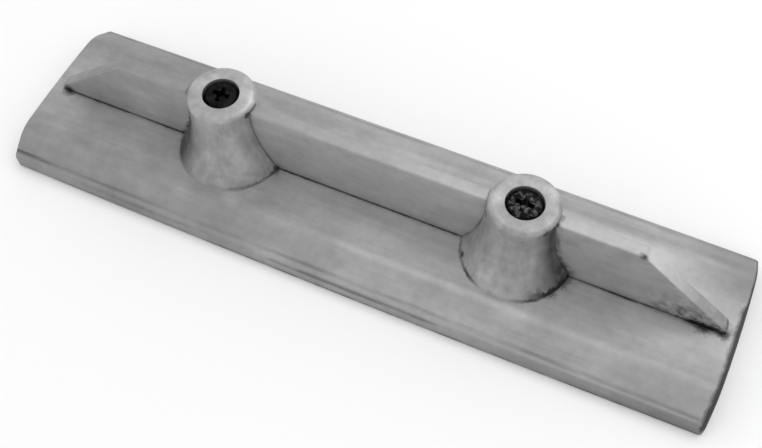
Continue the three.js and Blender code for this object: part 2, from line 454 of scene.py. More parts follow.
def painted_highlight_spots(paint):
    """Painted highlights: how much lighter the blade is in the spots in front of the posts' feet."""
    lighter = 0.0
    for place, inner, outer, amount in PAINTED_HIGHLIGHT_SPOTS:
        spot = paint.spread(paint.near(place), inner * MM, outer * MM, amount, 0.0)
        lighter = paint.larger(spot, lighter)
    return lighter


def joint_sides(paint, rightwards, radius, x):
    """Where a post's foot shows its joint: at both sides, fainter at the left of the left post."""
    turn = paint.over(rightwards, radius)
    left = paint.times(paint.spread(turn, -0.6, -0.3, 1.0, 0.0), by_post(paint, x, 0.35, 1.0))
    return paint.larger(left, paint.spread(turn, 0.2, 0.55, 0.1, 1.0))


def top_grime(paint, x, y, z):
    """Grime on the crown: beside the rib's foot and around the posts' feet."""
    past_rib = paint.times(paint.larger(paint.minus(paint.size(x), RIB_END), 0.0), 1.5)
    beside_rib = paint.larger(paint.minus(paint.size(y), GROOVE_HALF), 0.0)
    rib_line = ragged(paint, paint.plus(beside_rib, past_rib), 0.8 * MM)
    rib_line = paint.times(rib_line, patchy(paint, 60.0, 0.43, 0.62), 0.75)
    _, rightwards, radius = from_post(paint)
    post_line = ragged(paint, paint.size(paint.minus(radius, POST_BASE_RADIUS)), 1.0 * MM)
    post_line = paint.times(post_line, patchy(paint, 60.0, 0.35, 0.55), 0.8)
    post_line = paint.times(post_line, joint_sides(paint, rightwards, radius, x))
    on_top = paint.spread(z, CROWN - 2.5 * MM, CROWN - 1.5 * MM)
    return paint.times(paint.larger(rib_line, post_line), on_top)


def end_grime_and_shade(paint, x, y, z):
    """Darkening along the rounded top edges of the blade's ends: painted shade on the right end, thick at its
    front half, and a patchy dark line along the left end.
    """
    inside = from_outline(paint, x, HALF_LENGTH, y, HALF_WIDTH, END_BOW)
    reach = paint.spread(y, 9 * MM, 14 * MM, 2.7 * MM, 1.0 * MM)
    uneven = paint.spread(paint.noise(170.0, 4.0, 0.65), 0.3, 0.7, 0.75, 1.3)
    near = paint.over(inside, paint.times(reach, uneven))
    # painted shade along the right end's top edge and face
    right = paint.times(paint.spread(near, 0.5, 1.15, 0.88, 0.0), by_end(paint, x, 0.0, 1.0))
    left = paint.times(ragged(paint, inside, 0.9 * MM), patchy(paint, 120.0, 0.45, 0.65))
    left = paint.times(left, by_end(paint, x, 0.6, 0.0))
    slope = (CROWN - EDGE_HEIGHT) / (HALF_WIDTH - CROWN_HALF_WIDTH)
    fall = paint.times(paint.larger(paint.minus(paint.size(y), CROWN_HALF_WIDTH), 0.0), slope)
    below_top = paint.minus(paint.minus(CROWN, fall), z)
    return paint.times(paint.larger(right, left), paint.spread(below_top, 2 * MM, 5 * MM, 1.0, 0.2))


def side_grime(paint, x, y, z):
    """Scuffs along the blade's long edges: low on the face, on its upper corner and just inboard."""
    low = paint.stripe(z, 1.2 * MM, 0.4 * MM, 1.2 * MM, 0.65)
    low = paint.times(low, patchy(paint, 110.0, 0.30, 0.60))
    corner = paint.stripe(z, EDGE_HEIGHT - 0.1 * MM, 0.3 * MM, 1.0 * MM, 0.5)
    corner = paint.times(corner, patchy(paint, (30.0, 90.0, 90.0), 0.42, 0.60))
    film = paint.spread(x, 20 * MM, 130 * MM, 0.05, 0.32)
    inside = from_outline(paint, y, HALF_WIDTH, x, HALF_LENGTH, SIDE_BOW)
    on_face = paint.spread(inside, 0.9 * MM, 1.7 * MM, 1.0, 0.0)
    cleaner_left = paint.spread(x, -130 * MM, -40 * MM, 0.2, 1.0)
    face = paint.times(paint.larger(low, corner, film), on_face, cleaner_left)
    inboard = paint.stripe(paint.size(y), HALF_WIDTH - 3.4 * MM, 0.2 * MM, 1.0 * MM, 0.5)
    inboard = paint.times(inboard, patchy(paint, (30.0, 200.0, 200.0), 0.36, 0.62))
    inboard = paint.times(inboard, paint.spread(x, -138 * MM, -130 * MM, 1.7, 0.7))
    return paint.larger(face, inboard)


def blade_grime_and_shade(paint, x, y, z):
    # grime on the blade, with painted shade from the right end and from some of the spots
    joints_and_shade = paint.larger(top_grime(paint, x, y, z), stains_and_shade(paint))
    return paint.larger(joints_and_shade, end_grime_and_shade(paint, x, y, z), side_grime(paint, x, y, z))


def rib_grime_and_shade(paint, x, z, facing):
    """Darkening on the rib: grime along its foot, painted shadow beside the posts' outer sides, a line beside
    their inner sides, and mottled towards its right end.
    """
    above = paint.minus(z, CROWN)
    width = paint.spread(x, 112 * MM, 138 * MM, 0.5 * MM, 3.8 * MM)
    foot = paint.times(ragged(paint, above, width), patchy(paint, 60.0, 0.36, 0.58))
    foot = paint.times(foot, paint.spread(x, 112 * MM, 130 * MM, 0.6, 1.0))
    outwards, _, _ = from_post(paint)
    radius = post_radius(paint, z)
    # painted shadow on the rib beside each post's outer side
    outer = ragged(paint, paint.minus(outwards, radius), 2.2 * MM)
    outer = paint.times(outer, paint.spread(outwards, 0.0, 4 * MM))
    outer = paint.times(outer, patchy(paint, 160.0, 0.3, 0.6), 0.8)
    inner = ragged(paint, paint.minus(paint.times(outwards, -1.0), radius), 0.8 * MM)
    inner = paint.times(inner, paint.spread(outwards, -4 * MM, 0.0, 1.0, 0.0))
    inner = paint.times(inner, patchy(paint, 120.0), 0.4)
    mottled = paint.times(paint.spread(x, 110 * MM, 128 * MM), patchy(paint, 300.0, 0.40, 0.62))
    mottled = paint.times(mottled, paint.spread(above, 3 * MM, 17 * MM, 0.8, 0.0))
    mottled = paint.times(mottled, paint.spread(facing, 0.2, 0.5, 1.0, 0.3))
    return paint.larger(foot, stains_and_shade(paint), mottled, outer, inner)


def post_grime_and_shade(paint, x, y, z):
    """Darkening on the posts: painted shade in a band on the outer side, a line beside the rib, darker low on
    the right-facing flare, and the foot's joint.
    """
    outwards, rightwards, radius = from_post(paint)
    # painted shade: a dark band over each post's outer side
    sideways = paint.over(paint.size(y), radius)
    held = by_post(paint, x, 0.60, 0.40)
    band = paint.spread(sideways, 0.15, 0.36, 0.7, 1.0)
    band = paint.times(band, paint.spread(sideways, held, paint.plus(held, 0.42), 0.88, 0.0))
    band = paint.times(band, paint.spread(paint.noise(130.0, 3.0, 0.6), 0.3, 0.6, 0.78, 1.0))
    band = paint.times(band, paint.spread(outwards, 0.0, 6 * MM))
    line = ragged(paint, paint.minus(paint.size(y), RIB_HALF), 0.6 * MM)
    line = paint.times(line, patchy(paint, 120.0, 0.40, 0.70), 0.6)
    below_ring = paint.spread(z, POST_TOP - POST_TOP_ROUND - 0.6 * MM, POST_TOP - 1.2 * MM, 1.0, 0.0)
    # the painted shade band and the line beside the rib, below the ring
    shade_and_joint_line = paint.times(paint.larger(band, line), below_ring)
    above = paint.minus(z, CROWN)
    lower_right = paint.spread(paint.over(rightwards, radius), 0.42, 0.75)
    # darker low on the right-facing side of each flare, mostly on the right post
    smear = paint.times(ragged(paint, above, 4.2 * MM), lower_right, by_post(paint, x, 0.15, 1.0))
    thin = paint.times(ragged(paint, above, 1.2 * MM), joint_sides(paint, rightwards, radius, x))
    thin = paint.times(thin, patchy(paint, 60.0, 0.35, 0.55), 0.8)
    return paint.larger(shade_and_joint_line, smear, thin, stains_and_shade(paint))


# ---- Materials ----
BLADE_TONE = 0.31
RIB_TONE = 0.39
POST_TONE = 0.36
METALLIC = 0.7
# darkens both grime and painted shade
GRIME_AND_SHADE = (0.022, 0.021, 0.020, 1)
# worn edges and painted glints on the screw heads
WORN_AND_GLINT_GREY = (0.14, 0.138, 0.135, 1)
# painted shade in the corners of the plated parts
PLATING_IN_SHADE = (0.06, 0.055, 0.05, 1)
RING_SPACING = 0.45 * MM


def weathered(paint, base, streaks_and_light, grime_and_shade):
    """Grey magnesium: cloudy oxide, fine mottle and streaks with the painted light passed in, bright worn
    edges, painted shade in corners, and grime and painted shade where asked.
    """
    mottle = paint.noise(260.0, 5.0, 0.65)
    tone = paint.times(
        paint.spread(paint.noise(26.0, 3.0), 0.3, 0.7, 0.90, 1.10),
        base,
        paint.spread(mottle, 0.25, 0.75, 0.92, 1.08),
        paint.spread(paint.noise(85.0, 3.0, 0.6), 0.3, 0.7, 0.94, 1.06),
        streaks_and_light,
    )
    worn = paint.times(paint.edges(0.52, 0.60), paint.spread(mottle, 0.35, 0.6), 0.08)
    # painted shade: darker in corners within 1.5 mm of another surface
    shaded = paint.spread(paint.crevice(1.5 * MM), 0.2, 0.8, 0.7, 1.0)
    tone = paint.times(paint.plus(tone, worn), shaded)
    return paint.mix(grime_and_shade, paint.grey(tone), GRIME_AND_SHADE)


def blade_light_and_shade(paint, x, y, z):
    """Painted light and shade on the blade, as a factor: a painted highlight along the crease, painted light
    behind the rib and on the slopes, lighter beside the rib and darker further out.
    """
    # painted highlight along the crease of each shoulder, faint towards the left end
    crease = paint.stripe(paint.size(y), CROWN_HALF_WIDTH + 2.2 * MM, 0.5 * MM, 2.2 * MM, 0.25)
    crease = paint.times(crease, paint.spread(x, -80 * MM, 30 * MM, 0.1, 1.0))
    crease = paint.times(crease, paint.spread(x, 50 * MM, 120 * MM, 1.0, 0.6))
    crease = paint.times(crease, patchy(paint, 22.0))
    # painted light on the back of the crown behind the rib's right part, fading out towards the right end
    behind_rib = paint.spread(x, 50 * MM, 90 * MM, 0.06, 0.72)
    behind_rib = paint.minus(behind_rib, paint.spread(x, 105 * MM, 140 * MM, 0.0, 0.92))
    behind_rib = paint.times(behind_rib, paint.spread(y, 5 * MM, 20 * MM))
    behind_rib = paint.times(behind_rib, paint.spread(y, 22 * MM, 26 * MM, 1.0, 0.38))
    # painted light on the back slope
    back_slope = paint.spread(y, 24 * MM, 30 * MM, 0.0, 0.10)
    # painted light on the front slope towards the right
    front_right = paint.spread(x, 40 * MM, 100 * MM, 0.0, 0.14)
    front_right = paint.times(front_right, paint.spread(y, -26 * MM, -22 * MM, 1.0, 0.0))
    lighter = paint.plus(front_right, crease, behind_rib, back_slope, painted_highlight_spots(paint))
    on_top = paint.spread(z, 2 * MM, 5 * MM)
    # painted light and shade by place: lighter beside the rib, darker on the outer slopes, lighter between
    # the posts and darker towards the ends, and darker towards the left
    return paint.times(
        paint.plus(paint.times(lighter, on_top), 1.0),
        paint.spread(paint.size(y), 5 * MM, 20 * MM, 1.4, 1.12),
        paint.spread(paint.size(y), 21 * MM, 25 * MM, 1.0, 0.88),
        paint.spread(paint.size(x), 45 * MM, 85 * MM, 1.10, 0.95),
        paint.spread(x, -140 * MM, 140 * MM, 0.94, 1.02),
    )


def blade_material():
    paint = Paint("magnesium_blade")
    x, y, z = paint.axis("X"), paint.axis("Y"), paint.axis("Z")
    along = paint.noise((9.0, 520.0, 520.0), 5.0, 0.6)
    fine = paint.noise((25.0, 2600.0, 2600.0), 3.0, 0.6)
    broad = paint.noise((30.0, 110.0, 110.0), 3.0, 0.6)
    cast = paint.noise(1500.0, 3.0, 0.7)
    # streaks of the cast skin, multiplied by the blade's painted light and shade
    streaks_and_light = paint.times(
        paint.spread(along, 0.3, 0.7, 0.94, 1.07),
        paint.spread(fine, 0.2, 0.8, 0.96, 1.04),
        paint.spread(broad, 0.3, 0.7, 0.91, 1.10),
        blade_light_and_shade(paint, x, y, z),
    )
    colour = weathered(paint, BLADE_TONE, streaks_and_light, blade_grime_and_shade(paint, x, y, z))
    roughness = paint.spread(along, 0.25, 0.75, 0.46, 0.62)
    height = paint.plus(paint.times(along, 0.6), paint.times(cast, 0.4))
    normal = paint.bump(fine, 0.02 * MM, 0.6, paint.bump(height, 0.10 * MM, 0.5))
    return paint.finish(METALLIC, colour, roughness, normal)


def rib_material():
    paint = Paint("magnesium_rib")
    x, z, facing = paint.axis("X"), paint.axis("Z"), paint.facing_up()
    along = paint.noise((40.0, 260.0, 300.0), 5.0, 0.6)
    cast = paint.noise(1300.0, 3.0, 0.7)
    upper = paint.spread(facing, 0.3, 0.6)
    # painted light: upper faces darker towards the left and lighter towards the right
    top = paint.times(upper, paint.spread(x, -110 * MM, 100 * MM, -0.26, 0.24))
    # painted light on the sloped end's upper face: lighter near its top, darker towards its foot
    sloped = paint.times(upper, paint.spread(x, 110 * MM, 112 * MM))
    sloped = paint.times(sloped, paint.spread(x, 115 * MM, 134 * MM, 0.28, -0.30))
    darker_left = paint.spread(x, -120 * MM, -40 * MM, 0.93, 1.0)
    streaks_and_light = paint.times(
        paint.spread(along, 0.3, 0.7, 0.93, 1.07),
        paint.plus(top, 1.0),
        paint.plus(darker_left, sloped),
    )
    colour = weathered(paint, RIB_TONE, streaks_and_light, rib_grime_and_shade(paint, x, z, facing))
    roughness = paint.spread(along, 0.25, 0.75, 0.48, 0.62)
    normal = paint.bump(cast, 0.05 * MM, 0.5, paint.bump(along, 0.08 * MM, 0.5))
    return paint.finish(METALLIC, colour, roughness, normal)


def post_material():
    paint = Paint("magnesium_post")
    x, y, z = paint.axis("X"), paint.axis("Y"), paint.axis("Z")
    cast = paint.noise(900.0, 4.0, 0.7)
    skin = paint.noise(140.0, 3.0, 0.6)
    upright = paint.noise((160.0, 160.0, 30.0), 3.0, 0.6)
    machined = paint.spread(z, POST_TOP - 0.9 * MM, POST_TOP - 0.2 * MM)
    # the machined top ring, with painted light: lighter towards its back than its front
    bright = paint.times(machined, paint.spread(y, -10 * MM, 10 * MM, -0.02, 0.18))
    streaks_and_light = paint.times(
        paint.spread(skin, 0.3, 0.7, 0.86, 1.14),
        paint.plus(bright, 1.0),
        paint.spread(upright, 0.3, 0.7, 0.82, 1.18),
        paint.spread(paint.near(RUBBED_RING), 2 * MM, 8 * MM, 1.25, 1.0),
    )
    colour = weathered(paint, POST_TONE, streaks_and_light, post_grime_and_shade(paint, x, y, z))
    roughness = paint.minus(paint.spread(cast, 0.25, 0.75, 0.50, 0.64), paint.times(machined, 0.10))
    _, _, radius = from_post(paint)
    rings = paint.math("SINE", paint.times(radius, 2 * math.pi / RING_SPACING))
    bumpy = paint.bump(cast, 0.07 * MM, 0.5, paint.bump(skin, 0.25 * MM, 0.4))
    normal = paint.bump(paint.times(rings, machined), 0.01 * MM, 0.5, bumpy)
    return paint.finish(METALLIC, colour, roughness, normal)


def black_material():
    paint = Paint("black_oxide_steel")
    grain = paint.noise(1800.0, 3.0, 0.6)
    smear = paint.noise(380.0, 4.0, 0.6)
    worn = paint.times(paint.edges(0.53, 0.62), paint.spread(smear, 0.40, 0.60))
    # painted glints: lighter patches on the screw heads, mostly on the right screw
    glints = paint.times(paint.spread(paint.noise(430.0, 3.0, 0.6), 0.46, 0.66), 0.75)
    glints = paint.times(glints, by_post(paint, paint.axis("X"), 0.1, 1.0))
    tone = paint.spread(smear, 0.3, 0.7, 0.004, 0.012)
    colour = paint.mix(paint.larger(worn, glints), paint.grey(tone), WORN_AND_GLINT_GREY)
    roughness = paint.spread(smear, 0.25, 0.75, 0.34, 0.50)
    return paint.finish(1.0, colour, roughness, paint.bump(grain, 0.015 * MM, 0.5))


def plated_material():
    paint = Paint("plated_steel")
    grain = paint.noise((900.0, 900.0, 2600.0), 4.0, 0.6)
    tone = paint.spread(paint.noise(300.0, 3.0, 0.6), 0.3, 0.7, 0.40, 0.52)
    # painted shade: the plating darker in corners within 1.5 mm of another surface
    open_air = paint.spread(paint.crevice(1.5 * MM), 0.2, 0.8)
    colour = paint.mix(open_air, PLATING_IN_SHADE, paint.grey(tone))
    roughness = paint.spread(grain, 0.25, 0.75, 0.28, 0.42)
    return paint.finish(0.95, colour, roughness, paint.bump(grain, 0.01 * MM, 0.5))


# ---- Mesh helpers ----
def tidy_mesh(mesh, smooth_angle=None):
    """Joins doubled vertices and turns faces outwards. With an angle, flatter edges than that are smooth."""
    solid = bmesh.new()
    solid.from_mesh(mesh)
    bmesh.ops.remove_doubles(solid, verts=solid.verts, dist=1e-7)
    bmesh.ops.recalc_face_normals(solid, faces=solid.faces)
    if smooth_angle is not None:
        for face in solid.faces:
            face.smooth = True
        limit = math.radians(smooth_angle)
        for edge in solid.edges:
            edge.smooth = len(edge.link_faces) == 2 and edge.calc_face_angle(0.0) < limit
    solid.to_mesh(mesh)
    solid.free()


def raw_mesh(name, vertices, faces):
    mesh = bpy.data.meshes.new(name)
    mesh.from_pydata([tuple(v) for v in vertices], [], faces)
    tidy_mesh(mesh)
    return mesh


def add_piece(mesh, name, material, replaced, smooth_angle):
    """Links a mesh as a finished piece that stands for a CAD node."""
    tidy_mesh(mesh, smooth_angle)
    mesh.materials.clear()
    mesh.materials.append(material)
    piece = bpy.data.objects.new(name, mesh)
    bpy.context.scene.collection.objects.link(piece)
    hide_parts(replaced)
    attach(piece, "root")


def band_faces(first, second):
    """Faces between two closed rings of vertex numbers."""
    count = len(first)
    faces = []
    for step in range(count):
        after = (step + 1) % count
        faces.append((first[step], first[after], second[after], second[step]))
    return faces


def add_ring(vertices, radius, height, steps, centre_x):
    """Adds a level ring of vertices and returns their numbers."""
    start = len(vertices)
    for step in range(steps):
        angle = 2 * math.pi * step / steps
        vertices.append((centre_x + radius * math.cos(angle), radius * math.sin(angle), height))
    return list(range(start, len(vertices)))


def lathe(profile, steps, centre_x):
    """Vertices and faces of a turned solid from (radius, height) points that start and end on the axis."""
    vertices, rings, faces = [], [], []
    for radius, height in profile:
        if radius == 0:
            rings.append([len(vertices)])
            vertices.append((centre_x, 0.0, height))
        else:
            rings.append(add_ring(vertices, radius, height, steps, centre_x))
    for lower, upper in zip(rings, rings[1:]):
        if len(lower) == 1:
            faces += [(lower[0], upper[(step + 1) % steps], upper[step]) for step in range(steps)]
        elif len(upper) == 1:
            faces += [(lower[step], lower[(step + 1) % steps], upper[0]) for step in range(steps)]
        else:
            faces += band_faces(lower, upper)
    return vertices, faces


def arc(centre, radius, start, end, steps):
    """(radius, height) points on an arc, from one angle to another in degrees, both ends included."""
    points = []
    for step in range(steps + 1):
        angle = math.radians(start + (end - start) * step / steps)
        points.append((centre[0] + radius * math.cos(angle), centre[1] + radius * math.sin(angle)))
    return points


def box_cutter(low, high):
    corners = [(x, y, z) for z in (low[2], high[2]) for y in (low[1], high[1]) for x in (low[0], high[0])]
    faces = [(0, 2, 3, 1), (4, 5, 7, 6), (0, 1, 5, 4), (2, 6, 7, 3), (0, 4, 6, 2), (1, 3, 7, 5)]
    return raw_mesh("cutter", corners, faces)


def rod_cutter(radius, low, high, centre_x):
    profile = [(0, low), (radius, low), (radius, high), (0, high)]
    return raw_mesh("cutter", *lathe(profile, SMALL_STEPS, centre_x))


def cut(mesh, cutters):
    """Cuts the cutter meshes out of a mesh and returns the result."""
    base = bpy.data.objects.new("base", mesh)
    bpy.context.scene.collection.objects.link(base)
    tools = []
    for cutter in cutters:
        tool = bpy.data.objects.new("tool", cutter)
        bpy.context.scene.collection.objects.link(tool)
        modifier = base.modifiers.new("cut", "BOOLEAN")
        modifier.operation = "DIFFERENCE"
        modifier.solver = "EXACT"
        modifier.object = tool
        tools.append(tool)
    bpy.context.view_layer.update()
    evaluated = base.evaluated_get(bpy.context.evaluated_depsgraph_get())
    result = bpy.data.meshes.new_from_object(evaluated)
    for thing in [base, *tools]:
        bpy.data.objects.remove(thing)
    return result


# ---- Blade ----
EDGE_LINES = (0.0, 0.12, 0.3, 0.55, 0.85, 1.15, 1.5, 1.8, 2.3, 3.0)  # millimetres in from the outline
LENGTH_SPACING = 2.4 * MM
WIDTH_SPACING = 1.6 * MM
WALL_STEPS = 5
SOLE_STEPS = 4
LONG_WAVE = (22, 60, 0.3)  # waves per metre along and across the blade, and the layer of noise
SHORT_WAVE = (70, 130, 7.1)
WAVE_FADE = 4 * MM


def slope_angle():
    """How steeply the outer slope falls, once it has left the shoulder's arc."""
    run = HALF_WIDTH - CROWN_HALF_WIDTH
    rise = SHOULDER_RADIUS - (CROWN - EDGE_HEIGHT)
    return math.pi / 2 - math.atan2(rise, run) - math.acos(SHOULDER_RADIUS / math.hypot(run, rise))


def section_height(y):
    """The height of the blade's top at a distance from its centre line, before its edge is rounded."""
    angle = slope_angle()
    over = max(0.0, abs(y) - CROWN_HALF_WIDTH)
    arc_run = SHOULDER_RADIUS * math.sin(angle)
    if over <= arc_run:
        return CROWN - SHOULDER_RADIUS + math.sqrt(SHOULDER_RADIUS**2 - over**2)
    return CROWN - SHOULDER_RADIUS * (1 - math.cos(angle)) - (over - arc_run) * math.tan(angle)


def grid_lines(half, inner_lines, spacing):
    """Places of grid lines from -half to half: close together at the outline and at the inner lines."""
    places = [0.0]
    for place in sorted([half - step * MM for step in EDGE_LINES] + list(inner_lines)):
        gap = place - places[-1]
        pieces = max(1, math.ceil(gap / spacing))
        places += [places[-1] + gap * step / pieces for step in range(1, pieces + 1)]
    return [-place for place in reversed(places[1:])] + places


def bowed(place, half, share, bow, inset):
    """A place pulled in by its side's bow and inset: share is how far along that side it is, from -1 to 1."""
    return place * (1 - inset / half) - math.copysign(bow, place) * share**2 * abs(place / half) ** 3


def plan_point(x, y, inset=0.0):
    """A grid place on the real plan, with its rounded corners and bowed sides, and how far inside it is."""
    across, along = HALF_WIDTH - CORNER_RADIUS, HALF_LENGTH - CORNER_RADIUS
    past_x, past_y = abs(x) - along, abs(y) - across
    depth = min(HALF_LENGTH - abs(x), HALF_WIDTH - abs(y))
    if past_x > 0 and past_y > 0:
        pull = max(past_x, past_y) / math.hypot(past_x, past_y)
        past_x, past_y = past_x * pull, past_y * pull
        depth = CORNER_RADIUS - math.hypot(past_x, past_y)
        x, y = math.copysign(along + past_x, x), math.copysign(across + past_y, y)
    bowed_x = bowed(x, HALF_LENGTH, y / HALF_WIDTH, END_BOW, inset)
    bowed_y = bowed(y, HALF_WIDTH, x / HALF_LENGTH, SIDE_BOW, inset)
    return bowed_x, bowed_y, max(depth, 0.0)


def wave_at(x, y, wave):
    along, across, layer = wave
    return noise.noise(Vector((x * along, y * across, layer)))


def cast_waves(x, y, groove_distance):
    """How far the cast top lies below its true height: nothing beside the groove and the posts."""
    beside_groove = min(1.0, max(0.0, (groove_distance - 1 * MM) / WAVE_FADE))
    post_distance = math.hypot(abs(x) - POST_X, y) - POST_BASE_RADIUS
    beside_post = min(1.0, max(0.0, (post_distance - 0.5 * MM) / WAVE_FADE))
    wave = wave_at(x, y, LONG_WAVE) + 0.5 * wave_at(x, y, SHORT_WAVE)
    return BLADE_WAVE * beside_groove * beside_post * (0.75 + 0.5 * wave)


def top_height(grid_x, grid_y, x, y, depth):
    """The height of the blade's top at a grid place, with the groove and the rounded rim."""
    height = section_height(y)
    if depth < TOP_ROUND:
        height -= TOP_ROUND - math.sqrt(TOP_ROUND**2 - (TOP_ROUND - depth) ** 2)
    past_side, past_end = abs(grid_y) - GROOVE_HALF, abs(grid_x) - GROOVE_END
    groove_distance = max(past_side, past_end)
    if groove_distance < -GROOVE_STEP / 2:
        return RIB_FOOT
    if groove_distance < GROOVE_LIP / 2:
        return height - GROOVE_LIP * 0.6
    return height - cast_waves(x, y, groove_distance)


def grid_faces(start, columns, rows):
    """Faces of a grid whose vertices are numbered column by column."""
    faces = []
    for column in range(columns - 1):
        for row in range(rows - 1):
            first = start + column * rows + row
            faces.append((first, first + rows, first + rows + 1, first + 1))
    return faces


def rim_places(last_column, last_row):
    """The grid places round the outline, in order."""
    rim = [(0, row) for row in range(last_row)]
    rim += [(column, last_row) for column in range(last_column)]
    rim += [(last_column, row) for row in range(last_row, 0, -1)]
    rim += [(column, 0) for column in range(last_column, 0, -1)]
    return rim


def wall_levels():
    """The rings down the blade's wall: inset, share of the wall's height kept, and lowest height."""
    levels = [(0.0, 1 - step / WALL_STEPS, SOLE_ROUND) for step in range(1, WALL_STEPS + 1)]
    for step in range(1, SOLE_STEPS + 1):
        angle = math.pi / 2 * step / SOLE_STEPS
        levels.append((SOLE_ROUND * (1 - math.cos(angle)), 0.0, SOLE_ROUND * (1 - math.sin(angle))))
    return levels


def blade_mesh():
    end_lines = (GROOVE_END - GROOVE_STEP, GROOVE_END, GROOVE_END + GROOVE_LIP)
    side_lines = (GROOVE_HALF - GROOVE_STEP, GROOVE_HALF, GROOVE_HALF + GROOVE_LIP)
    xs = grid_lines(HALF_LENGTH, end_lines, LENGTH_SPACING)
    ys = grid_lines(HALF_WIDTH, (*side_lines, POST_BASE_RADIUS, CROWN_HALF_WIDTH), WIDTH_SPACING)
    columns, rows = len(xs), len(ys)
    vertices = []
    for grid_x in xs:
        for grid_y in ys:
            x, y, depth = plan_point(grid_x, grid_y)
            vertices.append((x, y, top_height(grid_x, grid_y, x, y, depth)))
    faces = grid_faces(0, columns, rows)
    rim = rim_places(columns - 1, rows - 1)
    upper = [column * rows + row for column, row in rim]
    tops = [vertices[number][2] for number in upper]
    for inset, share, lowest in wall_levels():
        lower = list(range(len(vertices), len(vertices) + len(rim)))
        for (column, row), top in zip(rim, tops):
            x, y, _ = plan_point(xs[column], ys[row], inset)
            vertices.append((x, y, lowest + (top - SOLE_ROUND) * share))
        faces += band_faces(upper, lower)
        upper = lower
    faces += grid_faces(len(vertices), columns, rows)
    for grid_x in xs:
        for grid_y in ys:
            x, y, _ = plan_point(grid_x, grid_y, SOLE_ROUND)
            vertices.append((x, y, 0.0))
    return raw_mesh("blade", vertices, faces)


def add_blade(material):
    pockets = []
    for _, side in SIDES:
        pockets.append(rod_cutter(INSERT_RADIUS + POCKET_GAP, insert_low.z, CROWN + OVERCUT, side * POST_X))
    mesh = cut(blade_mesh(), pockets)
    add_piece(mesh, "blade_casting", material, "float_blade", 40.0)


# ---- Rib ----
RIB_SPACING = 3.0 * MM
RIB_WAVES_PER_METRE = 45


def slice_along(solid, axis, places):
    """Cuts a mesh into slices along an axis between the lowest and highest place, so that it can wave."""
    low, high = min(places), max(places)
    count = round((high - low) / RIB_SPACING)
    for step in range(1, count):
        at = [0.0, 0.0, 0.0]
        normal = [0.0, 0.0, 0.0]
        at[axis] = low + (high - low) * step / count
        normal[axis] = 1.0
        geometry = list(solid.verts) + list(solid.edges) + list(solid.faces)
        bmesh.ops.bisect_plane(solid, geom=geometry, dist=1e-7, plane_co=at, plane_no=normal)


def rib_mesh(outline):
    """A slab across Y from (x, z) points, softly rounded on its edges and slightly uneven."""
    solid = bmesh.new()
    front = [solid.verts.new((x, -RIB_HALF, z)) for x, z in outline]
    back = [solid.verts.new((x, RIB_HALF, z)) for x, z in outline]
    solid.faces.new(front)
    solid.faces.new(list(reversed(back)))
    for step in range(len(outline)):
        after = (step + 1) % len(outline)
        solid.faces.new((front[step], back[step], back[after], front[after]))
    bmesh.ops.recalc_face_normals(solid, faces=solid.faces)
    bmesh.ops.bevel(solid, geom=list(solid.edges), offset=RIB_ROUND, segments=4, profile=0.5,
                    affect="EDGES", clamp_overlap=True)
    slice_along(solid, 0, [x for x, _ in outline])
    slice_along(solid, 2, [z for _, z in outline])
    for vertex in solid.verts:
        wave = RIB_WAVE * (0.5 + noise.noise(vertex.co * RIB_WAVES_PER_METRE) * 0.6)
        vertex.co.y *= 1 - wave / RIB_HALF
        if vertex.co.z > CROWN + 2 * MM:
            vertex.co.z -= wave
    mesh = bpy.data.meshes.new("rib")
    solid.to_mesh(mesh)
    solid.free()
    return mesh


def add_ribs(material):
    middle = [(rib_low.x, RIB_FOOT), (rib_high.x, RIB_FOOT), (rib_high.x, RIB_TOP), (rib_low.x, RIB_TOP)]
    add_piece(rib_mesh(middle), "rib_middle_slab", material, "rib_middle", 30.0)
    inner = outer_rib_low.x
    outer = [
        (inner, RIB_FOOT), (RIB_END, RIB_FOOT), (RIB_END, RIB_NOSE),
        (RIB_TOP_END, RIB_TOP), (inner, RIB_TOP),
    ]
    for name, side in SIDES:
        mesh = rib_mesh([(side * x, z) for x, z in outer])
        add_piece(mesh, f"rib_{name}_slab", material, f"rib_{name}", 30.0)


# ---- Posts ----
FLARE_STEPS = 24


def cone_side():
    """(radius, height) points up the post's flared side, closer together near its base."""
    rise = POST_TOP - POST_TOP_ROUND - CROWN
    heights = [CROWN + rise * (step / FLARE_STEPS) ** 1.5 for step in range(FLARE_STEPS + 1)]
    return [(flared_radius(height), height) for height in heights]


def post_profile():
    shoulder = POST_TOP - COUNTERBORE_DEPTH
    round_centre = (POST_TOP_RADIUS - POST_TOP_ROUND, POST_TOP - POST_TOP_ROUND)
    return [
        (0, CROWN),
        *cone_side(),
        *arc(round_centre, POST_TOP_ROUND, 12, 90, 8),
        (COUNTERBORE_RADIUS + COUNTERBORE_LIP, POST_TOP),
        (COUNTERBORE_RADIUS + COUNTERBORE_LIP * 0.4, POST_TOP - COUNTERBORE_LIP * 0.3),
        (COUNTERBORE_RADIUS, POST_TOP - COUNTERBORE_LIP),
        (COUNTERBORE_RADIUS, shoulder),
        (0, shoulder),
    ]


def slot_cutter(centre, hand):
    """The slot that takes a rib's end: from the post's core outwards, on one hand of it."""
    near, far = centre + hand * POST_CORE_HALF, centre + hand * (POST_BASE_RADIUS + 2 * OVERCUT)
    low = (min(near, far), -GROOVE_HALF, CROWN - OVERCUT)
    high = (max(near, far), GROOVE_HALF, RIB_TOP + GROOVE_GAP)
    return box_cutter(low, high)


def add_posts(material):
    for name, side in SIDES:
        centre = side * POST_X
        body = raw_mesh("post", *lathe(post_profile(), ROUND_STEPS, centre))
        cutters = [rod_cutter(SCREW_HOLE_RADIUS, CROWN - OVERCUT, POST_TOP, centre)]
        cutters += [slot_cutter(centre, hand) for hand in (-1, 1)]
        mesh = cut(body, cutters)
        add_piece(mesh, f"post_{name}_casting", material, f"post_{name}", 28.0)


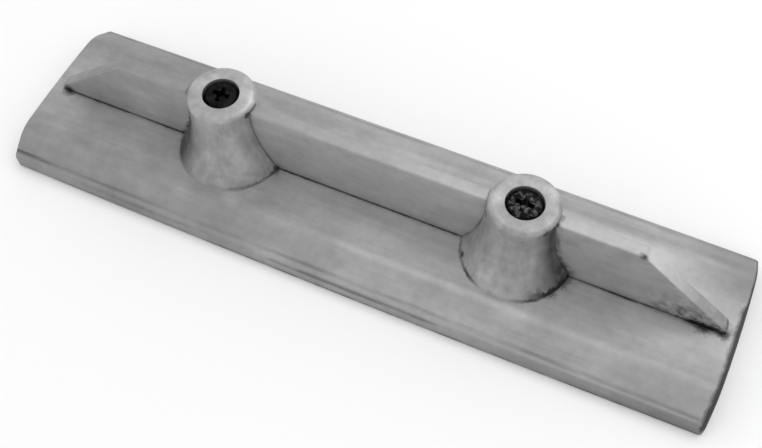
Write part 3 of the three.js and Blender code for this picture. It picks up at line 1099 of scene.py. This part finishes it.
# ---- Fasteners ----
SCREW_STEPS = 96
WASHER_STEPS = 90
RECESS_STEPS = 32
RECESS_OVER = 0.5 * MM
RECESS_TIP = 0.4 * MM
CONE_RADIUS = 1.1 * MM
CONE_MOUTH_RADIUS = 2.1 * MM
THREAD_START = 0.3 * MM
CREST_START = 0.44  # shares of the thread's pitch
CREST_END = 0.56
WASHER_SLANT = 0.25
RIDGE_SHARES = (0.2, 0.7, 0.85)  # where an insert's ridge is full, ends, and is down at the groove again


def screw_profile():
    """(radius, height) points up a screw: turned thread grooves, plain shank, and a domed head."""
    tip, top = screw_low.z, screw_high.z
    seat = top - HEAD_HEIGHT
    thread_top = seat - PLAIN_SHANK
    root = SHANK_RADIUS - THREAD_DEPTH
    profile = [(0, tip), (root, tip)]
    for turn in range(int((thread_top - tip) / THREAD_PITCH)):
        base = tip + THREAD_START + turn * THREAD_PITCH
        profile.append((root, base))
        profile.append((SHANK_RADIUS, base + THREAD_PITCH * CREST_START))
        profile.append((SHANK_RADIUS, base + THREAD_PITCH * CREST_END))
    neck = SHANK_RADIUS - THREAD_DEPTH * 0.5
    flat = HEAD_RADIUS - HEAD_DOME
    profile += [(neck, thread_top), (neck, seat - 0.4 * MM), (SHANK_RADIUS, seat)]
    profile += [(HEAD_RADIUS - HEAD_SOFT, seat), (HEAD_RADIUS, seat + HEAD_SOFT)]
    profile += arc((flat, top - HEAD_DOME), HEAD_DOME, 0, 80, 10)
    profile += [(flat * 0.6, top - 0.01 * MM), (0, top)]
    return profile


def recess_wing(centre, top, turned):
    """One arm pair of the cross recess: a wedge, wide at the top."""
    half_long, half_wide = RECESS_SPAN / 2, RECESS_WIDTH / 2
    levels = (
        (half_long * 0.45, half_wide * 0.7, top - RECESS_DEPTH),
        (half_long, half_wide, top + RECESS_OVER),
    )
    corners = []
    for long, wide, height in levels:
        for x, y in ((-long, -wide), (long, -wide), (long, wide), (-long, wide)):
            if turned:
                x, y = -y, x
            corners.append((centre + x, y, height))
    lower, upper = [0, 1, 2, 3], [4, 5, 6, 7]
    return raw_mesh("cutter", corners, [tuple(reversed(lower)), tuple(upper), *band_faces(lower, upper)])


def recess_cutters(centre, top):
    """The cross recess: two wings across each other and a cone in the middle."""
    cone = [
        (0, top - RECESS_DEPTH - RECESS_TIP), (CONE_RADIUS, top - RECESS_DEPTH),
        (CONE_MOUTH_RADIUS, top + RECESS_OVER), (0, top + RECESS_OVER),
    ]
    wings = [recess_wing(centre, top, turned) for turned in (False, True)]
    return [*wings, raw_mesh("cutter", *lathe(cone, RECESS_STEPS, centre))]


def add_screws(material):
    for name, side in SIDES:
        centre = side * POST_X
        body = raw_mesh("screw", *lathe(screw_profile(), SCREW_STEPS, centre))
        mesh = cut(body, recess_cutters(centre, screw_high.z))
        add_piece(mesh, f"screw_{name}", material, f"post_screw_{name}", 30.0)


def washer_mesh(centre):
    """A flat split ring with softened edges; its cut ends are slanted."""
    low, high, soft = washer_low.z, washer_high.z, WASHER_SOFT
    section = [
        (WASHER_BORE, low + soft), (WASHER_BORE + soft, low),
        (WASHER_RADIUS - soft, low), (WASHER_RADIUS, low + soft),
        (WASHER_RADIUS, high - soft), (WASHER_RADIUS - soft, high),
        (WASHER_BORE + soft, high), (WASHER_BORE, high - soft),
    ]
    gap = math.asin(WASHER_SPLIT / (WASHER_BORE + WASHER_RADIUS))
    vertices, faces, previous = [], [], None
    for step in range(WASHER_STEPS + 1):
        angle = gap + (2 * math.pi - 2 * gap) * step / WASHER_STEPS
        at_cut = step in (0, WASHER_STEPS)
        loop = list(range(len(vertices), len(vertices) + len(section)))
        for radius, height in section:
            turned = angle + (WASHER_SLANT * (height - low) / WASHER_BORE if at_cut else 0.0)
            vertices.append((centre + radius * math.cos(turned), radius * math.sin(turned), height))
        faces += [tuple(loop)] if at_cut else []
        faces += band_faces(previous, loop) if previous else []
        previous = loop
    return raw_mesh("washer", vertices, faces)


def add_washers(material):
    for name, side in SIDES:
        mesh = washer_mesh(side * POST_X)
        add_piece(mesh, f"washer_{name}", material, f"spring_washer_{name}", 35.0)


def insert_section():
    """(radius, height) points round an insert's wall, with turned grooves on its outside."""
    low, high, soft = insert_low.z, insert_high.z, INSERT_SOFT
    section = [
        (INSERT_BORE + soft, low), (INSERT_RADIUS - soft, low),
        (INSERT_RADIUS - INSERT_GROOVE_DEPTH, low + soft),
    ]
    rise = (high - low - 2 * soft) / INSERT_GROOVES
    full, end, down = RIDGE_SHARES
    for groove in range(INSERT_GROOVES):
        base = low + soft + rise * groove
        section.append((INSERT_RADIUS, base + rise * full))
        section.append((INSERT_RADIUS, base + rise * end))
        section.append((INSERT_RADIUS - INSERT_GROOVE_DEPTH, base + rise * down))
    section += [(INSERT_RADIUS - soft, high), (INSERT_BORE + soft, high)]
    section += [(INSERT_BORE, high - soft), (INSERT_BORE, low + soft)]
    return section


def add_inserts(material):
    for name, side in SIDES:
        vertices, faces = [], []
        rings = []
        for radius, height in insert_section():
            rings.append(add_ring(vertices, radius, height, SMALL_STEPS, side * POST_X))
        for ring, following in zip(rings, [*rings[1:], rings[0]]):
            faces += band_faces(ring, following)
        mesh = raw_mesh("insert", vertices, faces)
        add_piece(mesh, f"insert_{name}", material, f"thread_insert_{name}", 35.0)


# ---- Scene ----
bpy.context.scene.view_settings.view_transform = "Standard"
add_camera()
add_world()
for softbox in SOFTBOXES:
    add_softbox(*softbox)
add_floor()

add_blade(blade_material())
add_ribs(rib_material())
add_posts(post_material())
add_screws(black_material())
plated = plated_material()
add_washers(plated)
add_inserts(plated)
